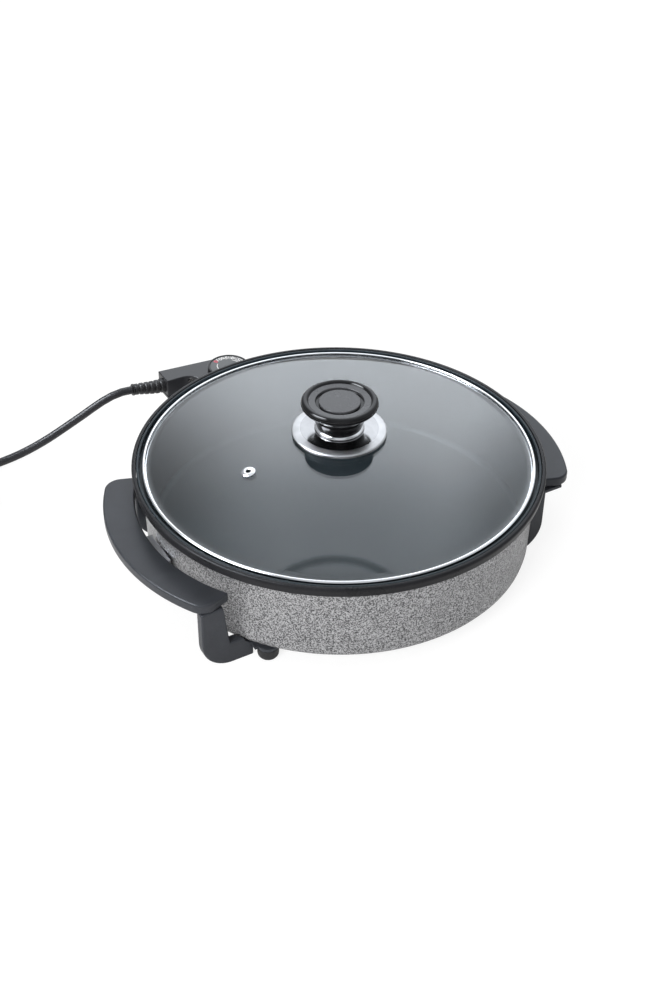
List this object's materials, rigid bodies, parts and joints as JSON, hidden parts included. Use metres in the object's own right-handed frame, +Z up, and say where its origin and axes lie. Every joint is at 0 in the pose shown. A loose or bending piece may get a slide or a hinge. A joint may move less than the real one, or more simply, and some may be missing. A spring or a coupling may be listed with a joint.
{
  "type": "electric grill pan",
  "caption": "Round electric grill pan on four legs, with side handles, a lift-off domed glass lid, and a plug-in thermostat with a dial and mains cord.",
  "frame": {"origin": "middle of the footprint without the cord, on the surface that the legs stand on; the pan's axis is at x = 0, y = -0.0359 m", "axes": "+Z up, +Y from the pan to the thermostat, +X to the right with the thermostat at the back, handles at both ends of X"},
  "size_m": [0.5239, 0.3894, 0.1356],
  "materials": {
    "hammered_grey": "hammered enamel, semi-gloss",
    "dark_coating": "smooth dark coating",
    "black_bakelite": "moulded phenolic, satin",
    "gloss_black": "high gloss",
    "control_housing": "gloss front, satin top",
    "dial_grey": "printed disc, satin",
    "black_rubber": "moulded rubber",
    "cord_jacket": "satin cord jacket",
    "polished_steel": "polished",
    "plain_steel": "plain",
    "element_sheath": "heat-darkened sheath",
    "brass": "plain",
    "switch_ceramic": "glazed steatite",
    "pilot_lens": "clear lens",
    "lid_glass": "clear tempered"
  },
  "bodies": {
    "pan": {"pan_body": "hammered_grey", "rim_trim": "dark_coating", "handle_grip_left": "black_bakelite", "handle_grip_right": "black_bakelite", "inlet_guard": "black_bakelite", "leg_front_left": "black_bakelite", "leg_front_right": "black_bakelite", "leg_rear_left": "black_bakelite", "leg_rear_right": "black_bakelite", "foot_front_left": "black_rubber", "foot_front_right": "black_rubber", "foot_rear_left": "black_rubber", "foot_rear_right": "black_rubber", "handle_bracket_left": "plain_steel", "handle_bracket_right": "plain_steel", "handle_screw_left": "plain_steel", "handle_screw_right": "plain_steel", "inlet_nut_left": "plain_steel", "inlet_nut_right": "plain_steel", "reflector_plate": "plain_steel", "reflector_nut": "plain_steel", "probe_well": "plain_steel", "terminal_pin_left": "plain_steel", "terminal_pin_right": "plain_steel", "foot_nut_front_left": "plain_steel", "foot_nut_front_right": "plain_steel", "foot_nut_rear_left": "plain_steel", "foot_nut_rear_right": "plain_steel", "heating_element": "element_sheath"},
    "lid": {"lid_glass": "lid_glass", "lid_ring": "polished_steel", "vent_grommet": "polished_steel", "knob_gasket": "black_rubber", "knob_flange": "polished_steel", "knob_collar": "polished_steel", "knob_grip": "gloss_black", "knob_cap": "gloss_black", "knob_washer": "plain_steel", "knob_screw": "plain_steel"},
    "control": {"control_upper_shell": "control_housing", "control_lower_shell": "control_housing", "probe_rod": "plain_steel", "contact_sleeve_left": "brass", "contact_sleeve_right": "brass", "switch_block": "switch_ceramic", "contact_blade": "brass", "pilot_lens": "pilot_lens", "strain_relief": "black_rubber", "cord_run": "cord_jacket", "cord_coil": "cord_jacket", "cord_tail": "cord_jacket", "cord_tie": "black_rubber", "plug_body": "cord_jacket", "plug_pin_left": "plain_steel", "plug_pin_right": "plain_steel"},
    "dial": {"dial_knob": "gloss_black", "dial_face": "dial_grey", "dial_spindle": "brass"}
  },
  "joints": [
    {"name": "lid_lift", "type": "slide", "parent": "pan", "child": "lid", "axis": [0, 0, 1], "range_m": [0, 0.12]},
    {"name": "control_unplug", "type": "slide", "parent": "pan", "child": "control", "axis": [0, 1, 0], "range_m": [0, 0.075]},
    {"name": "dial_turn", "type": "hinge", "parent": "control", "child": "dial", "pos_m": [0, 0.1546, 0.055], "axis": [0, 0, 1], "range_deg": [0, 270]}
  ]
}
